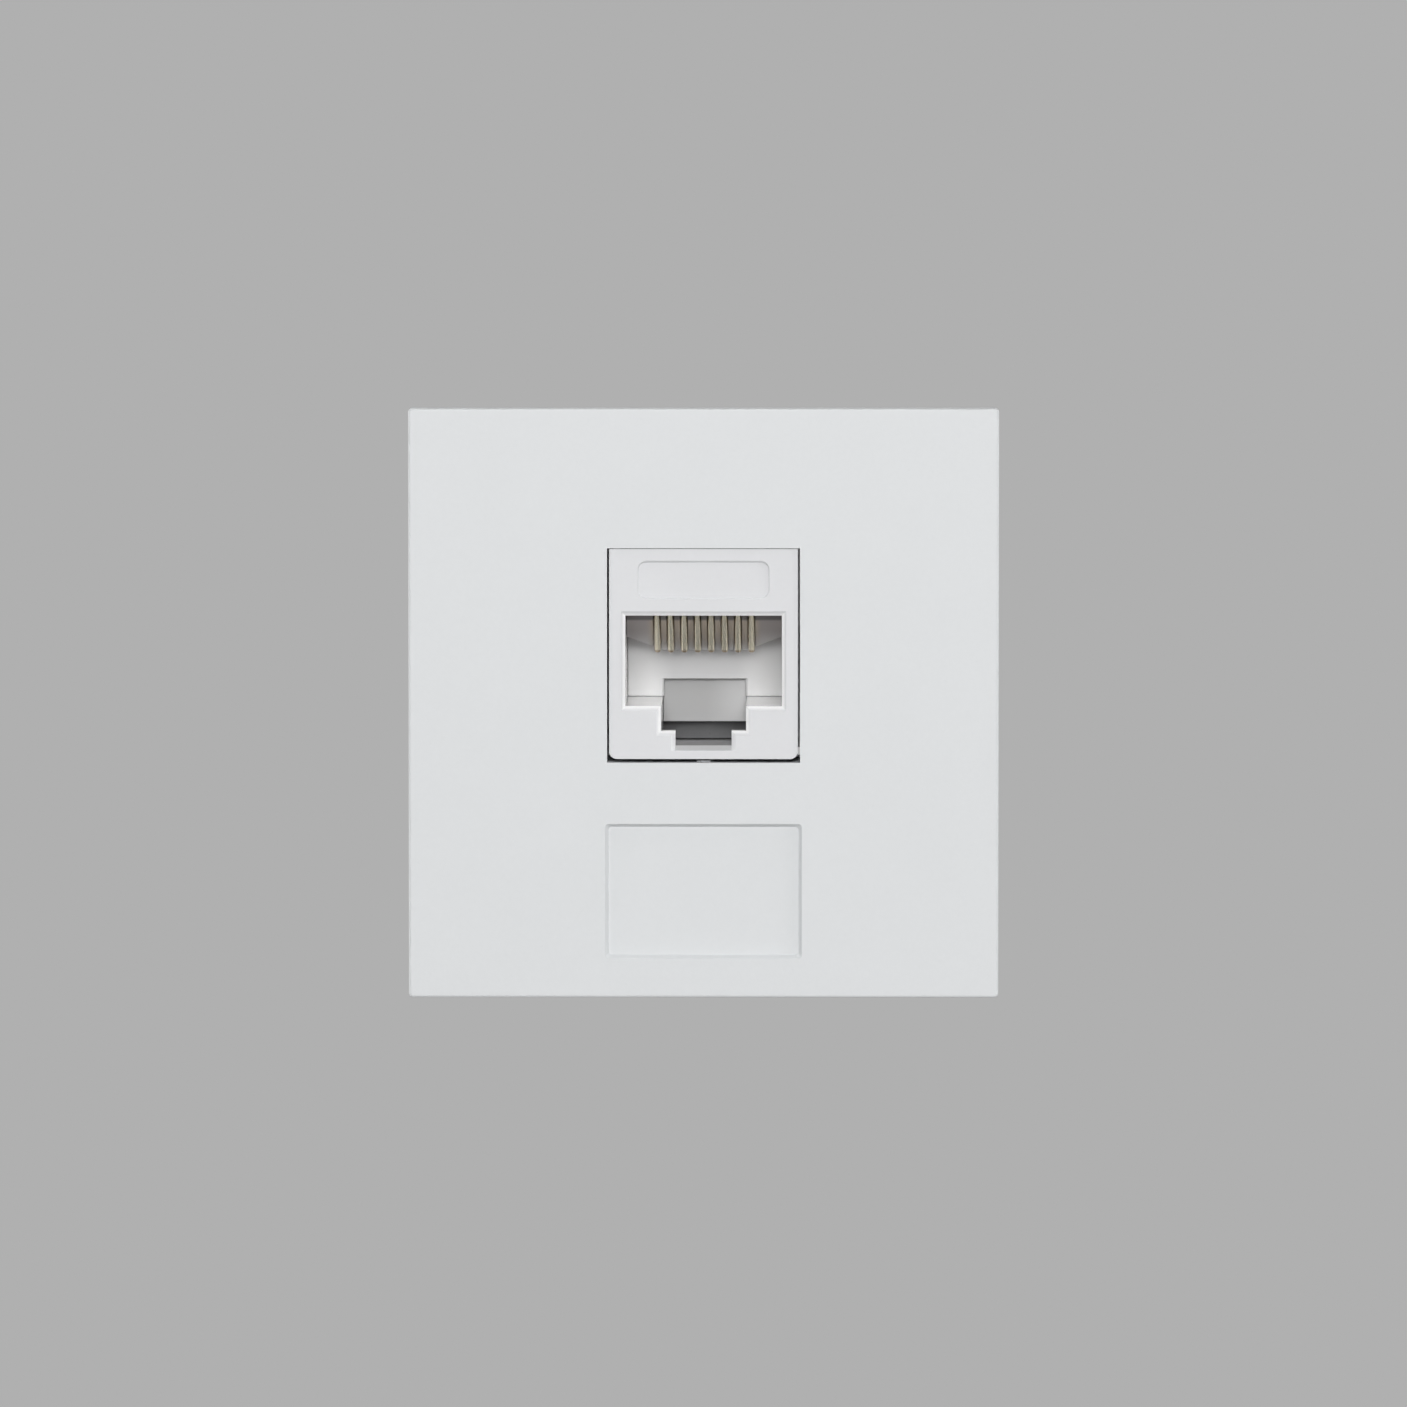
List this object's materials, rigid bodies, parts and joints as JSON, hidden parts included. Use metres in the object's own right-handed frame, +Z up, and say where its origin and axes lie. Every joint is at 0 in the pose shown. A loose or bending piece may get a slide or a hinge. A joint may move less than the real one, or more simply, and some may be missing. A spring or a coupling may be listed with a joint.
{
  "type": "ethernet socket module",
  "caption": "Square white snap-in data module: a plate with a bare recess carries a plug-in network jack, with sprung contacts in its port and capped wire terminals behind.",
  "frame": {"origin": "middle of the plate, on the plane of the rim's rear face that seats on the mounting frame", "axes": "+X to the right seen from the front, +Y to the rear, +Z up"},
  "size_m": [0.045, 0.0276, 0.045],
  "materials": {
    "plate_plastic": "satin moulded white",
    "jack_plastic": "satin moulded white",
    "carrier_plastic": "matte moulded white, greyer on the comb",
    "contact_gold": "gold flash, polished",
    "board_laminate": "dark grey solder mask",
    "block_plastic": "charcoal moulded plastic",
    "terminal_tin": "tinned, satin",
    "cap_plastic": "satin moulded white"
  },
  "bodies": {
    "module": {"module_plate": "plate_plastic", "jack_housing": "jack_plastic", "contact_carrier": "carrier_plastic", "contact_wire_1": "contact_gold", "contact_wire_2": "contact_gold", "contact_wire_3": "contact_gold", "contact_wire_4": "contact_gold", "contact_wire_5": "contact_gold", "contact_wire_6": "contact_gold", "contact_wire_7": "contact_gold", "contact_wire_8": "contact_gold", "circuit_board": "board_laminate", "wiring_block": "block_plastic", "terminal_1": "terminal_tin", "terminal_2": "terminal_tin", "terminal_3": "terminal_tin", "terminal_4": "terminal_tin", "terminal_5": "terminal_tin", "terminal_6": "terminal_tin", "terminal_7": "terminal_tin", "terminal_8": "terminal_tin"},
    "upper_cap": {"upper_wire_cap": "cap_plastic"},
    "lower_cap": {"lower_wire_cap": "cap_plastic"}
  },
  "joints": [
    {"name": "upper_cap_slide", "type": "slide", "parent": "module", "child": "upper_cap", "axis": [0, 1, 0], "range_m": [0, 0.008]},
    {"name": "lower_cap_slide", "type": "slide", "parent": "module", "child": "lower_cap", "axis": [0, 1, 0], "range_m": [0, 0.008]}
  ]
}
